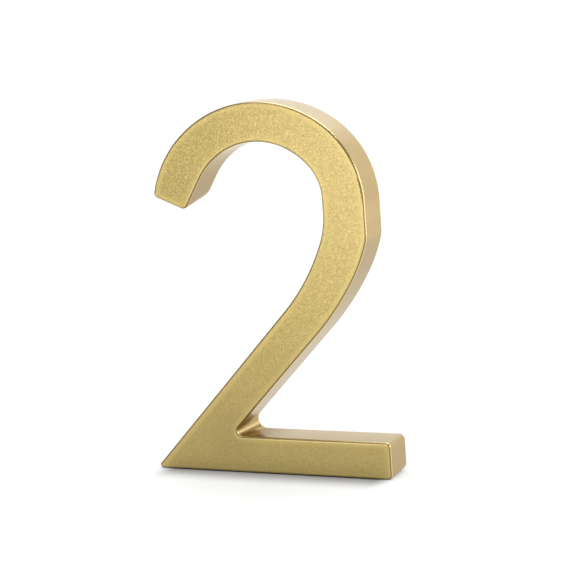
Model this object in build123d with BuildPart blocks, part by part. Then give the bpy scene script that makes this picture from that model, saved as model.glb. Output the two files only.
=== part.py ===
"""House number: a standing numeral two, cast in one piece.

The face looks along -Y, the flat back lies on the wall side at +Y and the foot of the bar stands on
Z = 0. X = 0 and Y = 0 are the middle of the numeral's width and thickness. Millimetres and degrees.
"""

import os
from math import radians, sin, tan

from build123d import *

# Overall
height = 101.6
thickness = 11.1

# Outer side of the bowl, from the crown down its right side to the diagonal
crown_r = 33.8
crown_right_turn = 33.9
side_r = 26.7
side_plumb = 8.8
shoulder_corner = 14.8
shoulder_r = 41.7
shoulder_turn = 14.9
tail_r = 77.7

# Inner side of the bowl, down to the diagonal
crown_stroke = 10.7
inner_crown_r = 20.3
inner_crown_turn = 48.7
side_stroke = 12.2
neck_r = 21.0
neck_turn = 21.4
inner_tail_r = 57.1

# Hook at the bowl's open end
crown_left_turn = 45.4
hook_r = 29.5
hook_turn = 32.8
hook_inner_turn = 58.8
hook_inner_straight = 9.7

# Diagonal, whose right side leans a little more than its left, and bar
slope = 45.7
left_slope = 46.4
slope_stroke = 11.0
bar_height = 10.2
bar_reach = 33.7

# Rounding: corners of the outline, some of which soften towards the back, then the edges
hook_outer_corner_r = 1.3
tip_r = 0.9
shoulder_corner_r = 8.0
valley_face_r = 1.4
valley_back_r = 2.7
hook_face_r = 1.3
hook_back_r = 6.5
bar_face_r = 1.3
bar_top_back_r = 1.6
bar_foot_back_r = 2.4
face_edge_r = 0.7
back_edge_r = 0.7

# Blind holes for the two hidden fixing studs
stud_hole_d = 3.3
stud_hole_depth = 7.0


def point_at_height(line_point, direction, level):
    """The point at a given height on a sloping line."""
    return line_point + direction * ((level - line_point.Y) / direction.Y)


def corner_web(corner, one_way, other_way, radius):
    """The web between a corner's two straight sides and an arc that touches both, run past the corner."""
    half = radians(one_way.get_angle(other_way) / 2)
    bisector = (one_way + other_way).normalized()
    reach = radius / tan(half)
    start = corner + one_way * reach
    nearest = corner + bisector * (radius / sin(half) - radius)
    end = corner + other_way * reach
    past_corner = corner - bisector * radius
    with BuildSketch(mode=Mode.PRIVATE) as web:
        with BuildLine():
            ThreePointArc(start, nearest, end)
            Polyline(end, past_corner, start)
        make_face()
    return web.sketch


# Outline of the face, drawn about the plumb axis through the crown of the bowl
crown = Vector(0, height)
inner_crown = Vector(0, height - crown_stroke)
slope_turn = 90 - slope
left_slope_turn = 90 - left_slope

with BuildSketch() as outline:
    with BuildLine():
        # Right side of the bowl, a plumb stretch, the faint shoulder corner and the tail
        crown_right = JernArc(crown, (1, 0), crown_r, -crown_right_turn)
        side = JernArc(crown_right @ 1, crown_right % 1, side_r, crown_right_turn - 90)
        plumb = Line(side @ 1, side @ 1 - Vector(0, side_plumb))
        below_shoulder = (plumb % 1).rotate(Axis.Z, -shoulder_corner)
        shoulder = JernArc(plumb @ 1, below_shoulder, shoulder_r, -shoulder_turn)
        tail = JernArc(shoulder @ 1, shoulder % 1, tail_r, shoulder_corner + shoulder_turn - slope_turn)
        down_slope = tail % 1
        valley = point_at_height(tail @ 1, down_slope, bar_height)
        slope_right = Line(tail @ 1, valley)

        # Bar
        bar_top = Line(valley, (bar_reach, bar_height))
        bar_end = Line(bar_top @ 1, (bar_reach, 0))

        # Inner side of the bowl, set in from the outer side by the stroke there
        inner_side_x = (side @ 1).X - side_stroke
        inner_lean = sin(radians(inner_crown_turn))
        inner_side_r = (inner_side_x - inner_crown_r * inner_lean) / (1 - inner_lean)
        inner_crown_right = JernArc(inner_crown, (1, 0), inner_crown_r, -inner_crown_turn)
        inner_side_turn = inner_crown_turn - 90
        inner_side = JernArc(inner_crown_right @ 1, inner_crown_right % 1, inner_side_r, inner_side_turn)

        # The inner plumb stretch is as long as leaves the diagonal its own stroke
        inner_tail_turn = neck_turn - left_slope_turn
        neck_form = JernArc(inner_side @ 1, (0, -1), neck_r, -neck_turn, mode=Mode.PRIVATE)
        tail_form = JernArc(neck_form @ 1, neck_form % 1, inner_tail_r, inner_tail_turn, mode=Mode.PRIVATE)
        across_slope = down_slope.rotate(Axis.Z, -90)
        excess = (tail_form @ 1 - tail @ 1).dot(across_slope) - slope_stroke
        inner_plumb = Line(inner_side @ 1, inner_side @ 1 - Vector(0, excess / across_slope.Y))
        neck = JernArc(inner_plumb @ 1, (0, -1), neck_r, -neck_turn)
        inner_tail = JernArc(neck @ 1, neck % 1, inner_tail_r, inner_tail_turn)
        tip = point_at_height(inner_tail @ 1, inner_tail % 1, 0)
        slope_left = Line(inner_tail @ 1, tip)
        bar_foot = Line(tip, bar_end @ 1)

        # Hook: both sides of the bowl's open end and the cut across it
        crown_left = JernArc(crown, (-1, 0), crown_r, crown_left_turn)
        hook_outer = JernArc(crown_left @ 1, crown_left % 1, hook_r, hook_turn)
        inner_crown_left = JernArc(inner_crown, (-1, 0), inner_crown_r, hook_inner_turn)
        hook_inner = PolarLine(inner_crown_left @ 1, hook_inner_straight, direction=inner_crown_left % 1)
        hook_end = Line(hook_outer @ 1, hook_inner @ 1)
    make_face()
    fillet(outline.vertices().sort_by_distance(hook_end @ 0)[0], radius=hook_outer_corner_r)
    fillet(outline.vertices().sort_by_distance(tip)[0], radius=tip_r)
    fillet(outline.vertices().sort_by_distance(plumb @ 1)[0], radius=shoulder_corner_r)

# The outline's plumb axis stands off the middle of the numeral's width
axis_x = -outline.sketch.bounding_box().center().X
face_plane = Plane(origin=(axis_x, -thickness / 2, 0), x_dir=(1, 0, 0), z_dir=(0, -1, 0))
back_plane = face_plane.offset(-thickness)
stud_heights = (bar_height / 2, height - crown_stroke / 2)

with BuildPart() as numeral:
    with BuildSketch(face_plane):
        add(outline.sketch)
    extrude(amount=-thickness)

    # Corners that soften towards the back: the valley is filled, the others are rounded off
    left = Vector(-1, 0)
    up = Vector(0, 1)
    for corner, one_way, other_way, face_r, back_r, mode in (
        (valley, -down_slope, -left, valley_face_r, valley_back_r, Mode.ADD),
        (hook_end @ 1, -(hook_inner % 1), -(hook_end % 1), hook_face_r, hook_back_r, Mode.SUBTRACT),
        (bar_end @ 0, left, -up, bar_face_r, bar_top_back_r, Mode.SUBTRACT),
        (bar_end @ 1, left, up, bar_face_r, bar_foot_back_r, Mode.SUBTRACT),
    ):
        with BuildSketch(face_plane):
            add(corner_web(corner, one_way, other_way, face_r))
        with BuildSketch(back_plane):
            add(corner_web(corner, one_way, other_way, back_r))
        loft(ruled=True, mode=mode)

    # Rounded edges of the face and of the back
    fillet(numeral.faces().sort_by(Axis.Y)[0].edges(), radius=face_edge_r)
    fillet(numeral.faces().sort_by(Axis.Y)[-1].edges(), radius=back_edge_r)

    # Stud holes, plumb above one another in the bar and in the crown
    with BuildSketch(back_plane):
        with Locations(*[(0, stud_height) for stud_height in stud_heights]):
            Circle(stud_hole_d / 2)
    extrude(amount=stud_hole_depth, mode=Mode.SUBTRACT)

os.makedirs("parts", exist_ok=True)
numeral.part.label = "numeral"
export_step(numeral.part, "parts/numeral.step")
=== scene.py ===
import math
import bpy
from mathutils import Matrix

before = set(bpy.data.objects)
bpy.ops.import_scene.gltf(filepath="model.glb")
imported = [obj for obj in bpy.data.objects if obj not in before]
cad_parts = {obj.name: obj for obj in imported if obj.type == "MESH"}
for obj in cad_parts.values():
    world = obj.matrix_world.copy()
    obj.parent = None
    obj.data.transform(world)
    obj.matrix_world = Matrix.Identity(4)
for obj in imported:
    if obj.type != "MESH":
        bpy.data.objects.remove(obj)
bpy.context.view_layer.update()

from types import SimpleNamespace

import bpy
from mathutils import Matrix, Vector

MM = 0.001

# Where the picture is taken from
CAMERA_TURN = 25.81
CAMERA_RISE = 9.28
CAMERA_ROLL = -4.01
CAMERA_DISTANCE = 503.0 * MM
CAMERA_AIM = Vector((8.522 * MM, -5.55 * MM, 51.712 * MM))
CAMERA_LENS = 117.9
CAMERA_SENSOR = 36.0
NEAREST_SEEN = 0.01
FARTHEST_SEEN = 50.0

# Gold of the face: flakes of three tones, and a painted highlight along the rim, lighter still on the left
FACE_GOLD = (0.365, 0.272, 0.075, 1)
FACE_GOLD_DEEP = (0.285, 0.210, 0.054, 1)
FACE_GOLD_BRIGHT = (0.465, 0.352, 0.109, 1)
RIM_PAINTED_HIGHLIGHT = (0.43, 0.324, 0.096, 1)
LEFT_RIM_PAINTED_HIGHLIGHT = (0.475, 0.358, 0.106, 1)

# Painted glint, painted shade line and a second painted glint across the rounded front edge, from the face
# to the side
EDGE_PAINTED_GLINT = (0.56, 0.43, 0.16, 1)
EDGE_PAINTED_SHADE = (0.24, 0.170, 0.055, 1)
SIDE_EDGE_PAINTED_GLINT = (0.68, 0.54, 0.27, 1)

# Gold of the sides, a paler painted sheen on top, painted shade low down and underneath, painted shade in
# the valley with a painted highlight on its ridge, and painted shade at the foot
SIDE_GOLD = (0.505, 0.366, 0.160, 1)
SIDE_GOLD_DULL = (0.465, 0.334, 0.143, 1)
TOP_PAINTED_SHEEN = (0.455, 0.375, 0.232, 1)
UNDERSIDE_PAINTED_SHADE = (0.325, 0.241, 0.116, 1)
VALLEY_PAINTED_SHADE = (0.26, 0.177, 0.058, 1)
RIDGE_PAINTED_HIGHLIGHT = (0.46, 0.33, 0.138, 1)
FOOT_PAINTED_SHADE = (0.14, 0.105, 0.04, 1)

# Finish of the paint
GRAZING_TINT = (1.0, 0.93, 0.82, 1)
FACE_ROUGHNESS = 0.42
SIDE_ROUGHNESS = 0.17
VALLEY_ROUGHNESS_GAIN = 0.16
LACQUER_ROUGHNESS = 0.33
FACE_LACQUER = 1.0
SIDE_LACQUER = 0.3

# Metal flakes, which are calmer low on the face
FLAKE_SCALE = 3300.0
FLAKE_MIDDLE = (0.5, 0.5, 0.5)
FLAKE_LEAN = 0.075
LOW_FLAKE_LEAN = 0.045
LOW_FLAKE_CALM = 0.35
FLAKE_HEIGHTS = (5.0 * MM, 45.0 * MM)

# Streaks, drawn out from the face to the back of the sides
STREAK_SCALE = (260.0, 20.0, 260.0)
STREAK_DETAIL = 3.0
STREAK_ROUGHNESS = 0.6
STREAK_TONES = (0.35, 0.65)

# Zones by distance behind the face
FACE_PLACE = -5.55 * MM
FACE_END = (0.002 * MM, 0.02 * MM)
GLINT_START = (0.0, 0.02 * MM)
EDGE_START = (0.04 * MM, 0.07 * MM)
SIDE_START = (0.22 * MM, 0.36 * MM)
SIDE_GLINT_START = (0.28 * MM, 0.38 * MM)
SIDE_GLINT_END = (0.55 * MM, 0.70 * MM)
SLEEK_START = (0.20 * MM, 0.38 * MM)
LACQUER_THINNING = (0.05 * MM, 0.20 * MM)
BAR_DEPTHS = (0.0, 11.0 * MM)

# Zones by facing: how far a surface, or the rim's softened facing, turns along an axis
TOP_FACING = (0.5, 0.95)
UNDERSIDE_FACING = (-0.05, -0.5)
RIDGE_FACING = (0.74, 0.90)
BACK_FACING = (0.3, 0.7)
RIM_WIDTH = 3.2 * MM
RIM_SAMPLES = 16
RIM_FACING = (-1.0, -0.975)
LEFT_RIM_FACING = (-0.01, -0.12)

# Zones by height, by place across the numeral and by distance from the valley
FOOT_HEIGHTS = (0.0, 1.0 * MM)
FOOT_SHADE_SHARE = 0.8
LOW_SHADE_HEIGHTS = (6.0 * MM, 13.0 * MM)
LOW_SHADE_SHARE = 0.45
BAR_TOP_HEIGHTS = (11.0 * MM, 14.0 * MM)
LEFT_PART = (4.0 * MM, 12.0 * MM)
VALLEY_PLACE = (-12.09 * MM, 0.0, 10.2 * MM)
ALONG_FACE = (1.0, 0.0, 1.0)
VALLEY_REACH = (4.0 * MM, 11.0 * MM)
VALLEY_SHADE_REACH_ON_BAR = (4.0 * MM, 18.0 * MM)
VALLEY_SHADE_SHARE = 0.85

# Slope of the coat on the bar's top, down to the face
TO_FRONT = (0.0, -1.0, 0.0)
BAR_SLOPE = 0.07
POOL_SLOPE = 0.09
POOL_SLOPE_REACH = (3.0 * MM, 18.0 * MM)

# White ground, with the real shadow round the foot deepened into a painted shadow
GROUND_WHITE = (0.38, 0.38, 0.38, 1)
GROUND_RADIUS = 12.0
GROUND_SIDES = 96
PAINTED_SHADOW_MIDDLE = (0.0, -2.0 * MM, 0.0)
PAINTED_SHADOW_HALF_SIZE = (30.0 * MM, 2.5 * MM, 0.0)
PAINTED_SHADOW_SCALE = (2.0, 1.0, 0.0)
PAINTED_SHADOW_LIFT = 0.0
NEAR_LIFT = 0.53
FAR_LIFT = 0.86
NEAR_REACH = (0.0, 12.0 * MM)
FAR_REACH = 0.7

# Light
STUDIO_WHITE = (1.0, 1.0, 1.0, 1.0)
TOP_LEVEL = 0.76
BACK_LEVEL = 1.33
SIDE_LEVEL = 0.32
FRONT_LEVEL = 0.16
SOFTBOXES = (
    # name, place, side length, power
    ("overhead softbox", (0.0, 0.02, 0.50), 0.45, 1.4),
    ("back softbox", (0.0, 0.35, 0.45), 0.35, 0.4),
    ("side softbox", (0.45, 0.35, 0.20), 0.30, 0.4),
    ("right softbox", (0.34, -0.06, 0.12), 0.24, 0.55),
    ("face softbox", (-0.068, -0.36, 0.080), 0.15, 0.325),
    ("front top softbox", (-0.25, -0.44, 0.36), 0.15, 0.3),
)
LIGHT_AIM = Vector((0.0, 0.0, 0.05))
NODE_SPACING = 200.0


def node(tree, kind, **values):
    """A shader node with its settings and constant inputs."""
    made = tree.nodes.new(kind)
    made.location.x = NODE_SPACING * len(tree.nodes)
    for name, value in values.items():
        if name in made.inputs:
            made.inputs[name].default_value = value
        else:
            setattr(made, name, value)
    return made


def feed(tree, socket, value):
    """An input that follows another node's output, or holds a plain value."""
    if isinstance(value, bpy.types.NodeSocket):
        tree.links.new(value, socket)
    else:
        socket.default_value = value


def number_step(tree, operation, first, second):
    """One step of arithmetic on two values."""
    step = node(tree, "ShaderNodeMath", operation=operation)
    feed(tree, step.inputs[0], first)
    feed(tree, step.inputs[1], second)
    return step.outputs["Value"]


def vector_step(tree, operation, first, second):
    """One step of arithmetic on two vectors."""
    step = node(tree, "ShaderNodeVectorMath", operation=operation)
    feed(tree, step.inputs[0], first)
    feed(tree, step.inputs[1], second)
    return step.outputs["Vector"]


def stretched(tree, vector, length):
    """A vector times a length."""
    step = node(tree, "ShaderNodeVectorMath", operation="SCALE")
    feed(tree, step.inputs[0], vector)
    feed(tree, step.inputs["Scale"], length)
    return step.outputs["Vector"]


def length_of(tree, vector):
    """The length of a vector."""
    step = node(tree, "ShaderNodeVectorMath", operation="LENGTH")
    feed(tree, step.inputs[0], vector)
    return step.outputs["Value"]


def split(tree, vector):
    """The three parts of a vector, by axis."""
    parts = node(tree, "ShaderNodeSeparateXYZ")
    feed(tree, parts.inputs["Vector"], vector)
    return parts.outputs


def ramp_between(tree, value, span, level_at_start, level_at_end):
    """A smooth step from one level to another, while a value runs through a span."""
    start, end = span
    step = node(tree, "ShaderNodeMapRange", interpolation_type="SMOOTHSTEP")
    step.inputs["From Min"].default_value = start
    step.inputs["From Max"].default_value = end
    step.inputs["To Min"].default_value = level_at_start
    step.inputs["To Max"].default_value = level_at_end
    feed(tree, step.inputs["Value"], value)
    return step.outputs["Result"]


def mix_colour(tree, share, first, second):
    """The first colour giving way to the second by their share."""
    mix = node(tree, "ShaderNodeMix", data_type="RGBA")
    feed(tree, mix.inputs["Factor"], share)
    feed(tree, mix.inputs[6], first)
    feed(tree, mix.inputs[7], second)
    return mix.outputs[2]


def empty_material(name):
    """A material with nothing but its output."""
    material = bpy.data.materials.new(name)
    material.use_nodes = True
    tree = material.node_tree
    tree.nodes.clear()
    output = node(tree, "ShaderNodeOutputMaterial")
    return material, tree, output


def read_surface(tree):
    """Where a point lies on the numeral, which way it faces, and the zones that several coats use."""
    coordinates = node(tree, "ShaderNodeTexCoord")
    place = coordinates.outputs["Object"]
    spot = split(tree, place)
    facing = split(tree, coordinates.outputs["Normal"])
    from_valley = vector_step(tree, "SUBTRACT", place, VALLEY_PLACE)
    valley_distance = length_of(tree, vector_step(tree, "MULTIPLY", from_valley, ALONG_FACE))
    on_top = ramp_between(tree, facing["Z"], TOP_FACING, 0.0, 1.0)
    low_down = ramp_between(tree, spot["Z"], BAR_TOP_HEIGHTS, 1.0, 0.0)
    # Share of the painted shade in the valley, also used to roughen it
    near_valley = ramp_between(tree, valley_distance, VALLEY_REACH, VALLEY_SHADE_SHARE, 0.0)
    off_back = ramp_between(tree, facing["Y"], BACK_FACING, 1.0, 0.0)
    return SimpleNamespace(
        place=place,
        spot=spot,
        facing=facing,
        behind=number_step(tree, "SUBTRACT", spot["Y"], FACE_PLACE),
        valley_distance=valley_distance,
        on_top=on_top,
        on_bar_top=number_step(tree, "MULTIPLY", on_top, low_down),
        in_valley=number_step(tree, "MULTIPLY", near_valley, off_back),
    )


def face_coat(tree, surface, flakes):
    """Gold flakes on the face, a painted highlight along the rim, and a painted glint and painted shade
    line on the rounded edge.
    """
    tone = node(tree, "ShaderNodeValToRGB")
    tone.color_ramp.elements[0].color = FACE_GOLD_DEEP
    tone.color_ramp.elements[1].color = FACE_GOLD_BRIGHT
    middle = tone.color_ramp.elements.new(0.5)
    middle.color = FACE_GOLD
    feed(tree, tone.inputs["Fac"], flakes)
    calm = ramp_between(tree, surface.spot["Z"], FLAKE_HEIGHTS, LOW_FLAKE_CALM, 0.0)
    calmed = mix_colour(tree, calm, tone.outputs["Color"], FACE_GOLD)

    # Painted highlight: a lighter colour along the face's rim, lighter still on rims that lean left,
    # standing in for the rounded rim catching light
    softened = node(tree, "ShaderNodeBevel", samples=RIM_SAMPLES, Radius=RIM_WIDTH)
    tilt = split(tree, softened.outputs["Normal"])
    at_rim = ramp_between(tree, tilt["Y"], RIM_FACING, 0.0, 1.0)
    rimmed = mix_colour(tree, at_rim, calmed, RIM_PAINTED_HIGHLIGHT)
    to_left = ramp_between(tree, tilt["X"], LEFT_RIM_FACING, 0.0, 1.0)
    left_part = ramp_between(tree, surface.spot["X"], LEFT_PART, 1.0, 0.0)
    at_left_rim = number_step(tree, "MULTIPLY", to_left, left_part)
    left_rimmed = mix_colour(tree, at_left_rim, rimmed, LEFT_RIM_PAINTED_HIGHLIGHT)

    # Painted glint just off the face, then a painted shade line across the rounded edge
    on_glint = ramp_between(tree, surface.behind, GLINT_START, 0.0, 1.0)
    glinting = mix_colour(tree, on_glint, left_rimmed, EDGE_PAINTED_GLINT)
    on_edge = ramp_between(tree, surface.behind, EDGE_START, 0.0, 1.0)
    return mix_colour(tree, on_edge, glinting, EDGE_PAINTED_SHADE)


def side_coat(tree, surface):
    """Streaked gold on the sides, with a paler painted sheen on top, painted shade low down, underneath
    and in the valley, a painted highlight on the ridge and a painted glint behind the edge.
    """
    drawn_out = node(tree, "ShaderNodeMapping", Scale=STREAK_SCALE)
    feed(tree, drawn_out.inputs["Vector"], surface.place)
    streaks = node(tree, "ShaderNodeTexNoise", Scale=1.0, Detail=STREAK_DETAIL, Roughness=STREAK_ROUGHNESS)
    feed(tree, streaks.inputs["Vector"], drawn_out.outputs["Vector"])
    tone = node(tree, "ShaderNodeValToRGB")
    dull, bright = tone.color_ramp.elements
    dull.position, bright.position = STREAK_TONES
    dull.color = SIDE_GOLD_DULL
    bright.color = SIDE_GOLD
    feed(tree, tone.inputs["Fac"], streaks.outputs["Fac"])

    # Painted sheen: tops are paler, standing in for the white they reflect
    topped = mix_colour(tree, surface.on_top, tone.outputs["Color"], TOP_PAINTED_SHEEN)
    # Painted shade: sides are darker low down and on undersides, where they face the shaded ground
    low_down = ramp_between(tree, surface.spot["Z"], LOW_SHADE_HEIGHTS, LOW_SHADE_SHARE, 0.0)
    low_painted_shade = mix_colour(tree, low_down, topped, UNDERSIDE_PAINTED_SHADE)
    on_underside = ramp_between(tree, surface.facing["Z"], UNDERSIDE_FACING, 0.0, 1.0)
    shaded = mix_colour(tree, on_underside, low_painted_shade, UNDERSIDE_PAINTED_SHADE)

    # Painted shade in the valley's crease and on the bar's top beside it, lighter on the ridge as a
    # painted highlight
    near_valley_shade_on_bar = ramp_between(tree, surface.valley_distance, VALLEY_SHADE_REACH_ON_BAR, VALLEY_SHADE_SHARE, 0.0)
    in_valley_shade_on_bar = number_step(tree, "MULTIPLY", near_valley_shade_on_bar, surface.on_bar_top)
    valley_shade_on_bar = mix_colour(tree, in_valley_shade_on_bar, shaded, VALLEY_PAINTED_SHADE)
    on_ridge = ramp_between(tree, surface.facing["X"], RIDGE_FACING, 0.0, 1.0)
    valley_painted_light_and_shade = mix_colour(tree, on_ridge, VALLEY_PAINTED_SHADE, RIDGE_PAINTED_HIGHLIGHT)
    valley_painted = mix_colour(tree, surface.in_valley, valley_shade_on_bar, valley_painted_light_and_shade)

    # Painted glint on the rounded edge, just behind the painted shade line
    glint_start = ramp_between(tree, surface.behind, SIDE_GLINT_START, 0.0, 1.0)
    glint_end = ramp_between(tree, surface.behind, SIDE_GLINT_END, 1.0, 0.0)
    on_glint = number_step(tree, "MULTIPLY", glint_start, glint_end)
    return mix_colour(tree, on_glint, valley_painted, SIDE_EDGE_PAINTED_GLINT)


def coat_facing(tree, surface, flakes):
    """The facing of the coat: flakes lean on the face, and the bar's top slopes down to the front."""
    on_face = ramp_between(tree, surface.behind, FACE_END, 1.0, 0.0)
    lean_there = ramp_between(tree, surface.spot["Z"], FLAKE_HEIGHTS, LOW_FLAKE_LEAN, FLAKE_LEAN)
    lean = number_step(tree, "MULTIPLY", on_face, lean_there)
    flake_lean = stretched(tree, vector_step(tree, "SUBTRACT", flakes, FLAKE_MIDDLE), lean)

    front_slope = ramp_between(tree, surface.behind, BAR_DEPTHS, BAR_SLOPE, 0.0)
    pool_slope = ramp_between(tree, surface.valley_distance, POOL_SLOPE_REACH, POOL_SLOPE, 0.0)
    slope = number_step(tree, "ADD", front_slope, pool_slope)
    bar_slope = stretched(tree, TO_FRONT, number_step(tree, "MULTIPLY", slope, surface.on_bar_top))

    solid = node(tree, "ShaderNodeNewGeometry")
    leaning = vector_step(tree, "ADD", solid.outputs["Normal"], flake_lean)
    facing = node(tree, "ShaderNodeVectorMath", operation="NORMALIZE")
    feed(tree, facing.inputs[0], vector_step(tree, "ADD", leaning, bar_slope))
    return facing.outputs["Vector"]


def gold_paint():
    """Satin metallic paint: sparkling on the face and sleek on the sides, with painted highlights and
    painted shade on its edges, top, valley and foot.
    """
    material, tree, output = empty_material("satin gold paint")
    surface = read_surface(tree)
    flakes = node(tree, "ShaderNodeTexVoronoi", Scale=FLAKE_SCALE)
    feed(tree, flakes.inputs["Vector"], surface.place)

    on_side = ramp_between(tree, surface.behind, SIDE_START, 0.0, 1.0)
    face_gold = face_coat(tree, surface, flakes.outputs["Color"])
    painted = mix_colour(tree, on_side, face_gold, side_coat(tree, surface))
    # Painted shade on the lowest millimetre, standing in for the contact shadow
    at_foot = ramp_between(tree, surface.spot["Z"], FOOT_HEIGHTS, FOOT_SHADE_SHARE, 0.0)
    colour = mix_colour(tree, at_foot, painted, FOOT_PAINTED_SHADE)
    sleekness = ramp_between(tree, surface.behind, SLEEK_START, FACE_ROUGHNESS, SIDE_ROUGHNESS)
    valley_dulling = number_step(tree, "MULTIPLY", surface.in_valley, VALLEY_ROUGHNESS_GAIN)
    roughness = number_step(tree, "ADD", valley_dulling, sleekness)
    lacquer = ramp_between(tree, surface.behind, LACQUER_THINNING, FACE_LACQUER, SIDE_LACQUER)

    paint = node(tree, "ShaderNodeBsdfPrincipled", Metallic=1.0)
    paint.inputs["Coat Roughness"].default_value = LACQUER_ROUGHNESS
    paint.inputs["Specular Tint"].default_value = GRAZING_TINT
    feed(tree, paint.inputs["Base Color"], colour)
    feed(tree, paint.inputs["Roughness"], roughness)
    feed(tree, paint.inputs["Coat Weight"], lacquer)
    feed(tree, paint.inputs["Normal"], coat_facing(tree, surface, flakes.outputs["Color"]))
    feed(tree, output.inputs["Surface"], paint.outputs["BSDF"])
    return material


def white_ground():
    """A white sheet that stays white in the picture and in reflections, and keeps the shadow, deepened at
    the foot into a painted shadow.
    """
    material, tree, output = empty_material("white ground")
    path = node(tree, "ShaderNodeLightPath").outputs
    seen = number_step(tree, "MAXIMUM", path["Is Camera Ray"], path["Is Glossy Ray"])
    seen_through = number_step(tree, "MAXIMUM", seen, path["Is Transmission Ray"])

    # The sheet's lift is left out close to the foot, deepening the real shadow into a painted one, and
    # lifted where less light falls on it
    coordinates = node(tree, "ShaderNodeTexCoord")
    from_middle = vector_step(tree, "SUBTRACT", coordinates.outputs["Object"], PAINTED_SHADOW_MIDDLE)
    either_side = node(tree, "ShaderNodeVectorMath", operation="ABSOLUTE")
    feed(tree, either_side.inputs[0], from_middle)
    past_foot = vector_step(tree, "SUBTRACT", either_side.outputs["Vector"], PAINTED_SHADOW_HALF_SIZE)
    outside = vector_step(tree, "MAXIMUM", past_foot, (0.0, 0.0, 0.0))
    reach = length_of(tree, vector_step(tree, "MULTIPLY", outside, PAINTED_SHADOW_SCALE))
    near = ramp_between(tree, reach, NEAR_REACH, PAINTED_SHADOW_LIFT, NEAR_LIFT)
    far = node(tree, "ShaderNodeMapRange")
    far.inputs["From Max"].default_value = FAR_REACH
    far.inputs["To Max"].default_value = FAR_LIFT - NEAR_LIFT
    feed(tree, far.inputs["Value"], reach)
    level = number_step(tree, "ADD", near, far.outputs["Result"])

    glow = node(tree, "ShaderNodeEmission")
    feed(tree, glow.inputs["Strength"], number_step(tree, "MULTIPLY", seen_through, level))
    sheet = node(tree, "ShaderNodeBsdfDiffuse", Color=GROUND_WHITE)
    both = node(tree, "ShaderNodeAddShader")
    feed(tree, both.inputs[0], glow.outputs["Emission"])
    feed(tree, both.inputs[1], sheet.outputs["BSDF"])
    feed(tree, output.inputs["Surface"], both.outputs["Shader"])
    return material


def lay_ground():
    """The white ground that the numeral stands on."""
    bpy.ops.object.select_all(action="DESELECT")
    bpy.ops.mesh.primitive_circle_add(vertices=GROUND_SIDES, radius=GROUND_RADIUS, fill_type="NGON")
    ground = bpy.context.object
    ground.name = "ground"
    ground.data.materials.append(white_ground())


def light_studio():
    """A white studio, brightest behind and above, and six softboxes."""
    world = bpy.data.worlds.new("studio")
    bpy.context.scene.world = world
    world.use_nodes = True
    tree = world.node_tree
    tree.nodes.clear()
    direction = node(tree, "ShaderNodeTexCoord").outputs["Generated"]
    squared = vector_step(tree, "MULTIPLY", direction, direction)
    depth_level = node(tree, "ShaderNodeMapRange")
    depth_level.inputs["To Min"].default_value = FRONT_LEVEL
    depth_level.inputs["To Max"].default_value = BACK_LEVEL
    at_back = number_step(tree, "GREATER_THAN", split(tree, direction)["Y"], 0.0)
    feed(tree, depth_level.inputs["Value"], at_back)
    levels = node(tree, "ShaderNodeCombineXYZ", X=SIDE_LEVEL, Z=TOP_LEVEL)
    feed(tree, levels.inputs["Y"], depth_level.outputs["Result"])
    total = node(tree, "ShaderNodeVectorMath", operation="DOT_PRODUCT")
    feed(tree, total.inputs[0], squared)
    feed(tree, total.inputs[1], levels.outputs["Vector"])
    shell = node(tree, "ShaderNodeBackground", Color=STUDIO_WHITE)
    feed(tree, shell.inputs["Strength"], total.outputs["Value"])
    output = node(tree, "ShaderNodeOutputWorld")
    feed(tree, output.inputs["Surface"], shell.outputs["Background"])

    for name, place, side, power in SOFTBOXES:
        lamp = bpy.data.lights.new(name, "AREA")
        lamp.shape = "SQUARE"
        lamp.size = side
        lamp.energy = power
        softbox = bpy.data.objects.new(name, lamp)
        bpy.context.scene.collection.objects.link(softbox)
        softbox.location = place
        softbox.rotation_euler = (LIGHT_AIM - Vector(place)).to_track_quat("-Z", "Y").to_euler()


def set_camera():
    """The camera, a little right of the numeral and above it."""
    turn = math.radians(CAMERA_TURN)
    rise = math.radians(CAMERA_RISE)
    back = Vector((math.sin(turn) * math.cos(rise), -math.cos(turn) * math.cos(rise), math.sin(rise)))
    lens = bpy.data.cameras.new("camera")
    lens.sensor_width = CAMERA_SENSOR
    lens.lens = CAMERA_LENS
    lens.clip_start = NEAREST_SEEN
    lens.clip_end = FARTHEST_SEEN
    camera = bpy.data.objects.new("camera", lens)
    bpy.context.scene.collection.objects.link(camera)
    place = Matrix.Translation(CAMERA_AIM + CAMERA_DISTANCE * back)
    swing = Matrix.Rotation(turn, 4, "Z") @ Matrix.Rotation(math.pi / 2 - rise, 4, "X")
    roll = Matrix.Rotation(math.radians(CAMERA_ROLL), 4, "Z")
    camera.matrix_world = place @ swing @ roll
    bpy.context.scene.camera = camera


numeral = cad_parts["numeral"]
paint = gold_paint()
for slot in numeral.material_slots:
    slot.material = paint

lay_ground()
light_studio()
set_camera()
bpy.context.scene.view_settings.view_transform = "Standard"
